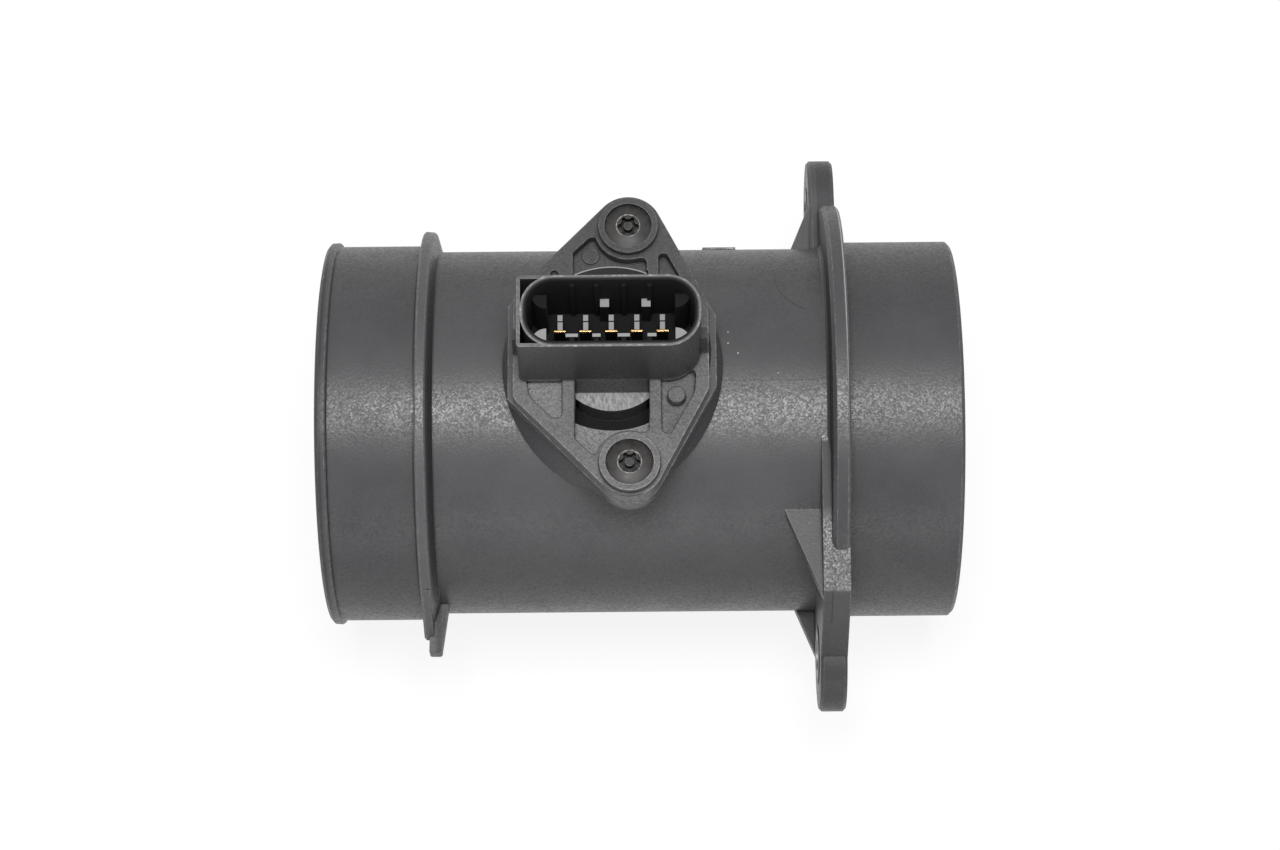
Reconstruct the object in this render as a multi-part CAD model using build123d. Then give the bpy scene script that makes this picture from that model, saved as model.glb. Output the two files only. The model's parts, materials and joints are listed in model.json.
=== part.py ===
from build123d import *
import os
from math import asin, atan2, cos, hypot, pi, radians, sin, sqrt, tan

os.makedirs("parts", exist_ok=True)

# Frame: the duct runs along X and air enters from +X. The origin is on the duct's axis, in the
# flange's mating face, midway between the two bolts. The plug-in sensor stands up along +Z.

# Clearances and fits
SLIDE = 0.1  # between a moulded piece and the opening that it drops into

# Duct
TUBE_R = 38.6
TUBE_WALL = 2.6
BORE_R = TUBE_R - TUBE_WALL
SPIGOT_R = 39.9
INLET_LENGTH = 23.5
OUTLET_LENGTH = 108.0  # from the flange's face to the end of the outlet spigot
BEAD_HEIGHT = 0.85
BEAD_LENGTH = 2.6
COLLAR_X = 87.6  # outlet side of the collar, from the flange's face
COLLAR_WIDTH = 2.2
COLLAR_HEIGHT = 3.1  # above the spigot
COLLAR_SLOPE = 1.2
NOSE_REACH = 6.3  # the collar's cam-shaped nose, above the spigot
TAB_REACH = 9.5  # the locating tab that stands on the nose
TAB_THICKNESS = 2.4
TAB_LENGTH = 2.6
TAB_STEP = 1.1  # the tab stands back from the collar's outlet side
FLANGE_R = 47.8
FLANGE_THICKNESS = 3.6
RAISED_PATCH = 0.35

# Bolt ears of the flange
BOLT_SPACING = 100.0
EAR_R = 11.8
EAR_THICKNESS = 5.5
EAR_FOOT = 13.5
EAR_BOSS_R = 6.2
EAR_BOSS_HEIGHT = 0.2
SLEEVE_R = 5.0
SLEEVE_BORE_R = 3.3
SHOULDER_Y = 45.5  # corner of the wide shoulder beside one ear
SHOULDER_Z = 28.4
RIB_THICKNESS = 2.5
RIB_LENGTH = 4.2  # along the tube, beyond the ear
RIB_LEVEL = 12.0  # outer face of a rib along an ear's edge
RIB_REACH = 47.1
GUSSET_LENGTH = 7.5
GUSSET_TOP = 27.4

# Sensor mounting on the tube
SENSOR_X = -47.6
SCREW_OFFSET = 3.4  # the screws lie towards the flange from the neck's centre
SCREW_SPACING = 50.4
SEAT_Z = 46.7
PAD_THICKNESS = 2.7
PAD_REACH = 20.9  # from the neck's centre to the pad's flanks
PAD_LEFT_CORNER = 10.0
PAD_RIGHT_CORNER = 7.6
BOSS_FLARE = 0.26  # the boss widens towards the tube
NECK_R = 19.0
NECK_BORE_R = NECK_R + SLIDE
NECK_BOTTOM = BORE_R + 0.1
PILOT_DEPTH = 10.5
EAR_UNDERSIDE = 5.2  # depth of the pad's ear at its tip
EAR_UNDERSIDE_SLOPE = 0.95

# Sensor flange
PLATE_THICKNESS = 4.0
PLATE_TOP = SEAT_Z + PLATE_THICKNESS
PLATE_LEFT = 19.7
PLATE_RIGHT = 19.3
PLATE_LEFT_CORNER = 11.0
PLATE_RIGHT_CORNER = 9.2
PLATE_CORNER_R = 3.0
PLATE_EAR_R = 6.8
FACET_LEFT = 11.9
FACET_RIGHT = 11.4
FACET_DROP = 0.7
POCKET_DEPTH = 2.2
RING_R = 6.0
RING_HEIGHT = 1.4
RECESS_R = 4.75
RECESS_FLOOR = PLATE_TOP - 1.8
SCREW_HOLE_R = 2.35
WELL_R = 17.5
WELL_HALF_WIDTH = 7.4
CORE_R = 11.3
CORE_TOP = 43.0
WELL_FOOT_R = 15.6
WELL_FOOT = 42.6  # level where the well's sloping side ends
WELL_FLOOR = NECK_BOTTOM + 1.3

# O-ring
O_RING_SECTION_R = 1.1
GROOVE_R = NECK_BORE_R - 2 * O_RING_SECTION_R
GROOVE_WIDTH = 3.0
GROOVE_BOTTOM = NECK_BOTTOM + 0.8

# Connector
SHROUD_LENGTH = 35.2
SHROUD_WIDTH = 14.9
SHROUD_CORNER = 6.6
SHROUD_WALL = 1.1
SHROUD_TOP = 68.7
SHROUD_FLOOR = PLATE_TOP + 0.5
GUARD_WALL = 0.7
LUG_REACH = 1.4
LUG_TOP = 58.0
PITCH = 5.05
PIN_COUNT = 5

# Terminals
BLADE_WIDTH = 2.3
BLADE_THICKNESS = 0.65
BLADE_TOP = 59.6
BLADE_FACE = -0.35  # the rear face of the lead frame, in Y
LEG_WIDTH = 1.2
LEG_PITCH = 3.6
LEG_FOOT = 28.4
BEND_Z = 46.0

# Security screws
SCREW_R = 2.0
HEAD_R = 4.6
HEAD_HEIGHT = 3.2
HEAD_EDGE = 2.5
SOCKET_R = 2.1
SOCKET_RIM = 0.35
SOCKET_DEPTH = 2.0
SCREW_LENGTH = 12.0

# Arm in the duct
ARM_HALF_LENGTH = 11.5
ARM_HALF_WIDTH = 5.5
ARM_BOTTOM = -13.0
ARM_NOSE_R = 3.0
LID_THICKNESS = 1.2
LID_LEDGE = 0.8

# Electronics chamber
CHAMBER_HALF_LENGTH = 9.8
CHAMBER_BOTTOM = 9.0
CHAMBER_TOP = 33.0
CHAMBER_FLOOR = 2.0
CARRIER_THICKNESS = 1.0
CARRIER_TOP = 27.0
BOARD_THICKNESS = 0.8
BOARD_BOTTOM = 13.4
BOARD_TOP = 26.6
CHIP_SIDE = 5.0
CHIP_THICKNESS = 1.2
RIBBON_WIDTH = 0.6
RIBBON_THICKNESS = 0.2

# Bypass channel
CHANNEL_HEIGHT = 5.6
CHANNEL_BOTTOM = -10.0
CHANNEL_WALL = 3.8
CHANNEL_FLOOR = 3.4
TURN_WIDTH = 5.4
CHANNEL_REAR = -9.0
HOLDER_WIDTH = 4.8
HOLDER_CENTRE = -1.0
ELEMENT_THICKNESS = 0.4

# Air thermistor
LEAD_R = 0.25
BEAD_R = 1.1
THERMISTOR_SPAN = 12.0
THERMISTOR_STANDOFF = 2.2

# Inlet fittings
SHOULDER_X = 7.0
FITTING_R = 37.5
SCREEN_THICKNESS = 0.8
SCREEN_PITCH = 6.6
SCREEN_WIRE = 0.9
RIM_WIDTH = 1.9
HONEYCOMB_DEPTH = 8.0
CELL_PITCH = 6.9
CELL_WALL = 0.7
RETAINER_THICKNESS = 1.5
RETAINER_GROOVE = 0.6
RETAINER_INNER_R = 35.6


def save(shape, name):
    shape.label = name
    export_step(shape, f"parts/{name}.step")


def tangent_point(corner, centre, radius, side):
    """Where the line from a corner touches a circle, on its left (+1) or right (-1) side."""
    dx, dy = centre[0] - corner[0], centre[1] - corner[1]
    reach = sqrt(dx * dx + dy * dy - radius * radius)
    angle = atan2(dy, dx) + side * asin(radius / hypot(dx, dy))
    return corner[0] + reach * cos(angle), corner[1] + reach * sin(angle)


def rounded(corners, cut=False):
    """A face through the corners (x, y, radius), each rounded off, or cut straight across."""
    turns = []
    for i, (x, y, radius) in enumerate(corners):
        here = Vector(x, y)
        back = (Vector(*corners[i - 1][:2]) - here).normalized()
        ahead = (Vector(*corners[(i + 1) % len(corners)][:2]) - here).normalized()
        half = radians(back.get_angle(ahead)) / 2
        reach = radius / tan(half)
        middle = here + (back + ahead).normalized() * (radius / sin(half) - radius)
        turns.append((here + back * reach, middle, here + ahead * reach, radius))
    edges = []
    for i, (start, middle, end, radius) in enumerate(turns):
        if radius > 0 and cut:
            edges.append(Line(start, end))
        elif radius > 0:
            edges.append(ThreePointArc(start, middle, end))
        edges.append(Line(end, turns[(i + 1) % len(turns)][0]))
    return make_face(Wire(edges))


def prism(face, low, high):
    """A face of the XY plane, pulled up from one level to another."""
    return extrude(Pos(0, 0, low) * face, high - low, dir=(0, 0, 1))


def block(x0, x1, y0, y1, z0, z1):
    size = Box(x1 - x0, y1 - y0, z1 - z0)
    return Pos((x0 + x1) / 2, (y0 + y1) / 2, (z0 + z1) / 2) * size


def along_x(face, start, end):
    """A face drawn in (y, z), pulled from x = start to x = end."""
    return extrude(Plane((start, 0, 0), x_dir=(0, 1, 0), z_dir=(1, 0, 0)) * face, end - start)


def along_y(face, start, end):
    """A face drawn in (x, z), pulled from y = start to y = end."""
    return extrude(Plane((0, end, 0), x_dir=(1, 0, 0), z_dir=(0, -1, 0)) * face, end - start)


def rod_x(radius, start, end, y=0.0, z=0.0):
    return Pos((start + end) / 2, y, z) * Rot(0, 90, 0) * Cylinder(radius, end - start)


def rod_z(radius, low, high, x=0.0, y=0.0):
    return Pos(x, y, (low + high) / 2) * Cylinder(radius, high - low)


SCREW_X = SENSOR_X + SCREW_OFFSET
SCREW_Y = SCREW_SPACING / 2
BOLT_Y = BOLT_SPACING / 2


# ---------------------------------------------------------------- duct housing


def duct_tube():
    """The revolved wall, with bead, collar, flange disc and the seat of the inlet fittings."""
    end = -OUTLET_LENGTH
    bead = end + BEAD_LENGTH
    bead_r = SPIGOT_R + BEAD_HEIGHT
    collar_r = SPIGOT_R + COLLAR_HEIGHT
    groove = SHOULDER_X + SCREEN_THICKNESS + HONEYCOMB_DEPTH
    profile = rounded(
        [
            (INLET_LENGTH, FITTING_R + 0.5, 0),
            (INLET_LENGTH, SPIGOT_R, 0.7),
            (0, SPIGOT_R, 0),
            (0, FLANGE_R, 0.6),
            (-FLANGE_THICKNESS, FLANGE_R, 0.8),
            (-FLANGE_THICKNESS, TUBE_R, 0.7),
            (COLLAR_SLOPE + COLLAR_WIDTH - COLLAR_X, TUBE_R, 0),
            (COLLAR_WIDTH - COLLAR_X, collar_r - 0.2, 0.4),
            (-COLLAR_X, collar_r, 0.3),
            (-COLLAR_X, SPIGOT_R, 0),
            (bead, SPIGOT_R, 0),
            (bead - 0.3, bead_r, 0.3),
            (end + 0.8, bead_r - 0.1, 0),
            (end + 0.2, bead_r - 0.8, 0),
            (end, bead_r - 1.8, 0),
            (end, BORE_R + 1.0, 0.4),
            (end + 2.0, BORE_R, 0.6),
            (SHOULDER_X, BORE_R, 0),
            (SHOULDER_X, FITTING_R, 0),
            (groove, FITTING_R, 0),
            (groove, FITTING_R + RETAINER_GROOVE, 0),
            (groove + RETAINER_THICKNESS, FITTING_R + RETAINER_GROOVE, 0),
            (groove + RETAINER_THICKNESS, FITTING_R, 0),
            (INLET_LENGTH - 1.5, FITTING_R, 0),
        ],
        cut=True,
    )
    return revolve(profile, Axis.X)


def collar_nose():
    """A cam-shaped nose on the collar, with the thin tab that a hose's slot drops over."""
    collar_r, nose = SPIGOT_R + COLLAR_HEIGHT, SPIGOT_R + NOSE_REACH
    touch_y = collar_r * collar_r / nose
    touch_z = sqrt(collar_r * collar_r - touch_y * touch_y)
    cam = rounded(
        [
            (-touch_y, touch_z, 0),
            (-nose, 0, 1.5),
            (-touch_y, -touch_z, 0),
            (-BORE_R - 1.5, 0, 0),
        ]
    )
    left = -COLLAR_X
    hump = along_x(cam, left, left + COLLAR_WIDTH - 0.2)
    hump = chamfer(hump.faces().sort_by(Axis.X)[0].edges().sort_by(Axis.Y)[0], 0.5)
    tab_left = left + TAB_STEP
    tab_right = tab_left + TAB_LENGTH
    face = rounded(
        [
            (tab_left, BORE_R + 1.5, 0),
            (tab_left, SPIGOT_R + TAB_REACH, 0.5),
            (tab_right, SPIGOT_R + TAB_REACH, 0.5),
            (tab_right + 1.4, TUBE_R, 0),
            (tab_right + 1.4, BORE_R + 1.5, 0),
        ]
    )
    tab = extrude(face, TAB_THICKNESS / 2, both=True)
    return hump + Rot(180, 0, 0) * tab


def plain_ear():
    touch = tangent_point((BORE_R, EAR_FOOT), (BOLT_Y, 0), EAR_R, 1)
    outline = Polyline((BORE_R, -EAR_FOOT), (BORE_R, EAR_FOOT), touch)
    arc = ThreePointArc(touch, (BOLT_Y + EAR_R, 0), (touch[0], -touch[1]))
    close = Line((touch[0], -touch[1]), (BORE_R, -EAR_FOOT))
    return make_face(Wire([*outline.edges(), arc, close]))


def ear_plates():
    """Two bolt ears; the one on the -Y side carries a wide flat shoulder above it."""
    plate = along_x(plain_ear(), -EAR_THICKNESS, 0)
    rims = plate.edges().group_by(Axis.X)
    plate = chamfer(rims[0] + rims[-1], 0.6)
    other = mirror(plate, Plane.XZ)
    shoulder = rounded(
        [
            (-12.0, TUBE_R - 2.2, 0),
            (-SHOULDER_Y, SHOULDER_Z, 1.6),
            (-BOLT_Y - 3.6, EAR_R - 0.6, 0),
            (-BOLT_Y, 0, 0),
            (-12.0, 0, 0),
        ]
    )
    wing = along_x(shoulder, -EAR_THICKNESS, 0) - rod_x(BORE_R + 1.0, -10, 5)
    return plate + other + wing


def ear_boss(side):
    y = side * BOLT_Y
    return rod_x(EAR_BOSS_R, -EAR_THICKNESS - EAR_BOSS_HEIGHT, -1, y)


def ear_rib(side, level):
    """A triangular rib from the tube to an ear's back, its outer face at one level."""
    start = sqrt(TUBE_R**2 - RIB_LEVEL**2)
    face = make_face(
        Polyline(
            (-EAR_THICKNESS - RIB_LENGTH, start - 1.5),
            (-EAR_THICKNESS - RIB_LENGTH, start),
            (-EAR_THICKNESS, RIB_REACH),
            (-1.0, RIB_REACH),
            (-1.0, start - 1.5),
            close=True,
        )
    )
    low = RIB_LEVEL - RIB_THICKNESS if level > 0 else -RIB_LEVEL
    rib = prism(face, low, low + RIB_THICKNESS)
    return rib if side > 0 else mirror(rib, Plane.XZ)


def shoulder_gusset():
    """A flat gusset between the tube and the back of the wide shoulder."""
    start = sqrt(TUBE_R**2 - GUSSET_TOP**2)
    face = make_face(
        Polyline(
            (-EAR_THICKNESS - GUSSET_LENGTH, -start + 2.0),
            (-EAR_THICKNESS - GUSSET_LENGTH, -start),
            (-EAR_THICKNESS, -SHOULDER_Y - 0.2),
            (-1.0, -SHOULDER_Y - 0.2),
            (-1.0, -start + 2.0),
            close=True,
        )
    )
    return prism(face, GUSSET_TOP - RIB_THICKNESS, GUSSET_TOP)


def rhombus(left_reach, right_reach, left_corner, right_corner, ear_r):
    """The sensor flange's outline: two ears joined by slants to straight flanks."""
    left = SENSOR_X - left_reach
    right = SENSOR_X + right_reach
    low_left = (left, -left_corner)
    low_right = (right, -right_corner)
    centre = (SCREW_X, -SCREW_Y)
    a = tangent_point(low_left, centre, ear_r, -1)
    b = tangent_point(low_right, centre, ear_r, 1)
    tip = (SCREW_X, -SCREW_Y - ear_r)
    edges = [
        Line(low_left, a),
        ThreePointArc(a, tip, b),
        Line(b, low_right),
        Line(low_right, (right, -low_right[1])),
        Line((right, -low_right[1]), (b[0], -b[1])),
        ThreePointArc((b[0], -b[1]), (tip[0], -tip[1]), (a[0], -a[1])),
        Line((a[0], -a[1]), (left, -low_left[1])),
        Line((left, -low_left[1]), low_left),
    ]
    return make_face(Wire(edges))


def pad_ear(side):
    """The screw boss under the pad's ear: it tapers down and its underside runs to the tube."""
    low = SEAT_Z - PAD_THICKNESS
    depth = 17.0
    taper = Cone(PLATE_EAR_R - 2.7, PLATE_EAR_R, depth)
    post = Pos(SCREW_X, -SCREW_Y, low - depth / 2) * taper
    web = block(SCREW_X - 5.0, SCREW_X + 5.0, -SCREW_Y, -NECK_R - 1.0, low - depth, low)
    tip = SCREW_Y + PLATE_EAR_R
    tip_z = SEAT_Z - EAR_UNDERSIDE
    foot = SCREW_Y - 5.0
    keep = make_face(
        Polyline(
            (-tip - 2, low),
            (-tip - 2, tip_z + 2 * EAR_UNDERSIDE_SLOPE),
            (-foot, tip_z - (tip - foot) * EAR_UNDERSIDE_SLOPE),
            (-foot + 3, tip_z - (tip - foot) * EAR_UNDERSIDE_SLOPE),
            (-foot + 3, low),
            close=True,
        )
    )
    ear = (post + web) & along_x(keep, SCREW_X - 10, SCREW_X + 10)
    return ear if side < 0 else mirror(ear, Plane.XZ)


def duct_housing():
    body = duct_tube() + collar_nose() + ear_plates()
    for side in (-1, 1):
        body += ear_boss(side)
        body += ear_rib(side, -1)
    body += ear_rib(1, 1) + shoulder_gusset()
    foot, under = 28.0, SEAT_Z - PAD_THICKNESS
    boss_foot_r = PAD_REACH + (under - foot) * BOSS_FLARE
    boss = Pos(SENSOR_X, 0, (foot + under) / 2) * Cone(boss_foot_r, PAD_REACH, under - foot)
    outline = rhombus(
        PAD_REACH, PAD_REACH, PAD_LEFT_CORNER, PAD_RIGHT_CORNER, PLATE_EAR_R + 0.15
    )
    pad = prism(outline, under, SEAT_Z)
    mounting = boss + pad + pad_ear(-1) + pad_ear(1)
    mounting -= rod_x(BORE_R + 1.0, SENSOR_X - 40, SENSOR_X + 40)
    body += mounting
    patch = block(-28.6, -21.6, TUBE_R - 2, TUBE_R + RAISED_PATCH, -3.5, 3.5)
    body += Rot(18, 0, 0) * patch
    body -= rod_z(NECK_BORE_R, 20.0, SEAT_Z + 1, SENSOR_X)
    lead_in = Pos(SENSOR_X, 0, SEAT_Z - 0.4) * Cone(NECK_BORE_R, NECK_BORE_R + 0.8, 0.8)
    body -= lead_in
    for side in (-1, 1):
        body -= rod_z(SCREW_R, SEAT_Z - PILOT_DEPTH, SEAT_Z + 1, SCREW_X, side * SCREW_Y)
        body -= rod_x(SLEEVE_R, -EAR_THICKNESS - 3, 3, side * BOLT_Y)
    return body


# ---------------------------------------------------------------- sensor housing


def flange_pockets():
    """The cored-out faces of the flange, and the well between its two long ribs."""
    x, y = SCREW_X, SCREW_Y
    left, right = SENSOR_X - WELL_HALF_WIDTH, SENSOR_X + WELL_HALF_WIDTH
    collar = Pos(x, -y) * Circle(RING_R + 0.9)
    middle = rounded(
        [
            (left, -7.0, 0),
            (left, -y + 5.4, 0),
            (left + 3.4, -y + 2.0, 1.0),
            (x, -y + 2.0, 0),
            (x, -y + 6.6, 0),
            (right - 0.1, -y + 6.6, 0.9),
            (right - 0.1, -7.0, 0),
        ]
    )
    middle -= collar
    outer = rounded(
        [
            (left - 2.5, -6.0, 0),
            (left - 2.5, -15.5, 1.0),
            (left - 4.4, -15.5, 1.2),
            (left - 9.0, -10.7, 3.0),
            (left - 9.8, -6.0, 0),
        ]
    )
    inner = rounded(
        [
            (right + 2.4, -6.0, 0),
            (right + 2.4, -18.9, 1.2),
            (right + 4.2, -18.9, 0.8),
            (right + 9.0, -9.9, 3.0),
            (right + 9.4, -5.2, 1.3),
            (right + 6.7, -5.2, 0),
        ]
    )
    upper = rounded(
        [
            (left - 0.4, 7.0, 0),
            (left - 0.4, y - 5.3, 0.8),
            (left + 3.0, y - 2.0, 1.3),
            (x, y - 2.0, 0),
            (x, y - 6.6, 0),
            (right - 0.3, y - 6.6, 0.9),
            (right - 0.3, 7.0, 0),
        ]
    )
    upper -= Pos(x, y) * Circle(RING_R + 0.9)
    upper_inner = rounded(
        [
            (right + 2.0, 6.0, 0),
            (right + 2.0, y - 5.6, 1.0),
            (right + 3.7, y - 5.6, 0.9),
            (right + 9.0, 9.6, 2.0),
            (right + 9.2, 5.2, 0),
        ]
    )
    floor = PLATE_TOP - POCKET_DEPTH
    cut = prism(middle, floor, PLATE_TOP + 1)
    for face in (outer, inner, upper, upper_inner):
        cut += prism(face, floor, PLATE_TOP + 1)
    return cut


def flange_well():
    """The slot-shaped part of an annular well round the neck's core."""
    slot = block(
        SENSOR_X - WELL_HALF_WIDTH,
        SENSOR_X + WELL_HALF_WIDTH,
        -WELL_R - 1,
        WELL_R + 1,
        30,
        PLATE_TOP + 1,
    )
    lip = PLATE_TOP - POCKET_DEPTH
    well = rod_z(WELL_R, lip, PLATE_TOP + 1, SENSOR_X)
    slope = Cone(WELL_FOOT_R, WELL_R, lip - WELL_FOOT)
    well += Pos(SENSOR_X, 0, (lip + WELL_FOOT) / 2) * slope
    well += rod_z(WELL_FOOT_R, WELL_FLOOR, lip, SENSOR_X)
    well -= rod_z(CORE_R, 30, CORE_TOP, SENSOR_X)
    between = block(SENSOR_X - 20, SENSOR_X + 20, -SHROUD_WIDTH / 2, SHROUD_WIDTH / 2, 30, 60)
    return (well & slot) - between


def facet(edge, break_x):
    """The shallow slope of the flange's top towards one flank."""
    face = make_face(
        Polyline(
            (break_x, PLATE_TOP),
            (edge, PLATE_TOP - FACET_DROP),
            (edge, PLATE_TOP + 1),
            (break_x, PLATE_TOP + 1),
            close=True,
        )
    )
    return along_y(face, -40, 40)


def sensor_flange():
    outline = rhombus(
        PLATE_LEFT, PLATE_RIGHT, PLATE_LEFT_CORNER, PLATE_RIGHT_CORNER, PLATE_EAR_R
    )
    corners = outline.vertices().group_by(Axis.X)
    outline = fillet(corners[0] + corners[-1], PLATE_CORNER_R)
    plate = prism(outline, SEAT_Z, PLATE_TOP)
    plate -= facet(SENSOR_X - PLATE_LEFT - 1, SENSOR_X - FACET_LEFT)
    plate -= facet(SENSOR_X + PLATE_RIGHT + 1, SENSOR_X + FACET_RIGHT)
    plate += rod_z(NECK_R, NECK_BOTTOM, SEAT_Z, SENSOR_X)
    plate -= flange_pockets()
    plate -= flange_well()
    post_x = SENSOR_X + WELL_HALF_WIDTH + 5.4
    plate += rod_z(1.75, PLATE_TOP - POCKET_DEPTH, PLATE_TOP - 0.2, post_x, -10.7)
    mark = rod_z(1.7, PLATE_TOP - POCKET_DEPTH - 0.5, PLATE_TOP - POCKET_DEPTH + 0.3)
    plate += Pos(SENSOR_X - 4.2, 19.9) * mark
    plate -= rod_z(0.85, PLATE_TOP - 0.8, PLATE_TOP + 1, SENSOR_X - 11.5, 15.2)
    for side in (-1, 1):
        y = side * SCREW_Y
        plate += rod_z(RING_R, PLATE_TOP - 1, PLATE_TOP + RING_HEIGHT, SCREW_X, y)
        plate -= rod_z(RECESS_R, RECESS_FLOOR, PLATE_TOP + 5, SCREW_X, y)
        plate -= rod_z(SCREW_HOLE_R, SEAT_Z - 1, PLATE_TOP, SCREW_X, y)
    ring = rod_z(NECK_R + 1, GROOVE_BOTTOM, GROOVE_BOTTOM + GROOVE_WIDTH, SENSOR_X)
    plate -= ring - rod_z(GROOVE_R, 0, SEAT_Z, SENSOR_X)
    return plate


def oval(inset=0.0):
    return Pos(SENSOR_X, 0) * RectangleRounded(
        SHROUD_LENGTH - 2 * inset, SHROUD_WIDTH - 2 * inset, SHROUD_CORNER - inset
    )


def connector_shroud():
    """The plug's socket: an oval wall, with a square guard at its rear end."""
    guard_x = SENSOR_X - SHROUD_LENGTH / 2 - GUARD_WALL
    guard = rounded(
        [
            (guard_x, -SHROUD_WIDTH / 2, 0.8),
            (SENSOR_X - 8, -SHROUD_WIDTH / 2, 0),
            (SENSOR_X - 8, SHROUD_WIDTH / 2, 0),
            (guard_x, SHROUD_WIDTH / 2, 0.8),
        ]
    )
    wall = prism(guard, PLATE_TOP - 1, SHROUD_TOP) + prism(oval(), PLATE_TOP - 1, SHROUD_TOP)
    corners = block(
        guard_x + GUARD_WALL,
        SENSOR_X - 8.5,
        GUARD_WALL - SHROUD_WIDTH / 2,
        SHROUD_WIDTH / 2 - GUARD_WALL,
        PLATE_TOP + 1.5,
        SHROUD_TOP + 1,
    )
    wall -= corners - prism(oval(), PLATE_TOP, SHROUD_TOP + 2)
    foot = block(
        SENSOR_X - WELL_HALF_WIDTH - 1,
        SENSOR_X + WELL_HALF_WIDTH + 1,
        -SHROUD_WIDTH / 2,
        SHROUD_WIDTH / 2,
        CORE_TOP - 2,
        PLATE_TOP,
    )
    return wall + foot - prism(oval(SHROUD_WALL), SHROUD_FLOOR, SHROUD_TOP + 1)


def keying_ribs():
    """Ribs inside the shroud: T rails in front, plain ribs behind and a backing to each blade."""
    ribs = []
    front = SHROUD_WALL / 2 - SHROUD_WIDTH / 2
    rear = -front
    rail_top = SHROUD_TOP - 2.3
    for step, left, right in ((-1.5, 1.2, 1.2), (-0.55, 0.8, 0.8), (0.5, 1.2, 1.2), (1.5, 0.45, 1.3)):
        x = SENSOR_X + step * PITCH
        ribs.append(block(x - 0.45, x + 0.45, front, -4.5, SHROUD_FLOOR - 1, rail_top - 0.3))
        ribs.append(block(x - left, x + right, -4.6, -3.9, SHROUD_FLOOR - 1, rail_top))
        ribs.append(block(x - 0.45, x + 0.45, rear - 1.0, rear, SHROUD_FLOOR - 1, SHROUD_TOP - 2))
    for x in (SENSOR_X - 1.3, SENSOR_X + 6.9):
        ribs.append(block(x - 0.9, x + 0.9, 4.65, rear, SHROUD_FLOOR - 1, BLADE_TOP - 0.6))
    for i in range(PIN_COUNT):
        x = SENSOR_X + (i - (PIN_COUNT - 1) / 2) * PITCH
        ribs.append(block(x - 0.5, x + 0.5, 2.1, 3.4, SHROUD_FLOOR - 1, BLADE_TOP - 1.6))
        ribs.append(block(x - 0.5, x + 0.5, 0.3, 2.2, SHROUD_FLOOR - 1, BLADE_TOP - 2.2))
    for side in (-1, 1):
        for end in (-1, 1):
            fan = Pos(SENSOR_X + side * 12.6, end * 5.0) * Circle(2.9)
            half = Pos(SENSOR_X + side * 14.6, end * 3.0) * Rectangle(4.0, 4.0)
            ribs.append(prism(fan & half, SHROUD_FLOOR - 1, SHROUD_TOP - 4.0))
    return ribs


def latch_lugs():
    """A small lug beside each end of the shroud, for the plug's latch."""
    rear = SENSOR_X - SHROUD_LENGTH / 2 - GUARD_WALL
    nose = SENSOR_X + SHROUD_LENGTH / 2
    lugs = []
    for start, end in ((rear - LUG_REACH, rear + 0.5), (nose - 0.8, nose + LUG_REACH)):
        lugs.append(block(start, end, -1.7, 0.5, PLATE_TOP - 1, LUG_TOP))
    return lugs


def arm():
    """The finger in the air stream: the electronics chamber above, the bypass channel below."""
    section = Pos(SENSOR_X, 0) * RectangleRounded(
        2 * ARM_HALF_LENGTH, 2 * ARM_HALF_WIDTH, ARM_NOSE_R
    )
    body = prism(section, ARM_BOTTOM, NECK_BOTTOM + 2)
    return body


def chamber_cut():
    x, back = SENSOR_X, -ARM_HALF_WIDTH
    half, ledge = CHAMBER_HALF_LENGTH - LID_LEDGE, LID_LEDGE
    deep = block(x - half, x + half, back - 1, CHAMBER_FLOOR, CHAMBER_BOTTOM, LEG_FOOT - 0.4)
    shelf = block(x - half, x + half, back - 1, BLADE_FACE, CHAMBER_BOTTOM, CHAMBER_TOP)
    seat = block(
        x - half - ledge,
        x + half + ledge,
        back - 1,
        back + LID_THICKNESS,
        CHAMBER_BOTTOM - ledge,
        CHAMBER_TOP + ledge,
    )
    return deep + shelf + seat


def channel_top(lower):
    """Lower or upper leg of the bypass channel: its bottom and top."""
    low = CHANNEL_BOTTOM if lower else CHANNEL_BOTTOM + CHANNEL_HEIGHT + CHANNEL_WALL
    return low, low + CHANNEL_HEIGHT


def channel_cut():
    """A U-shaped channel: in at the nose, round the rear, past the element and out at the side."""
    x, back = SENSOR_X, LID_THICKNESS - ARM_HALF_WIDTH
    z0, z1 = channel_top(True)
    z2, z3 = channel_top(False)
    rear, nose = x + CHANNEL_REAR, x + ARM_HALF_LENGTH
    path = rounded(
        [
            (rear, z0, 2.4),
            (nose - ARM_NOSE_R - 1, z0, 0),
            (nose - ARM_NOSE_R - 1, z1, 0),
            (rear + TURN_WIDTH, z1, 1.2),
            (rear + TURN_WIDTH, z2, 1.2),
            (nose - ARM_NOSE_R - 1, z2, 0),
            (nose - ARM_NOSE_R - 1, z3, 0),
            (rear, z3, 2.4),
        ]
    )
    cut = along_y(path, back, CHANNEL_FLOOR)
    cut += block(nose - ARM_NOSE_R - 2, nose + 1, back + 1.0, CHANNEL_FLOOR, z0, z1)
    exit_x = nose - ARM_NOSE_R - 1
    cut += block(exit_x - 4.5, exit_x, 0, ARM_HALF_WIDTH + 1, z2, z3)
    cut += along_y(lid_outline(LID_LEDGE), back - LID_THICKNESS - 1, back)
    return cut


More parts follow.
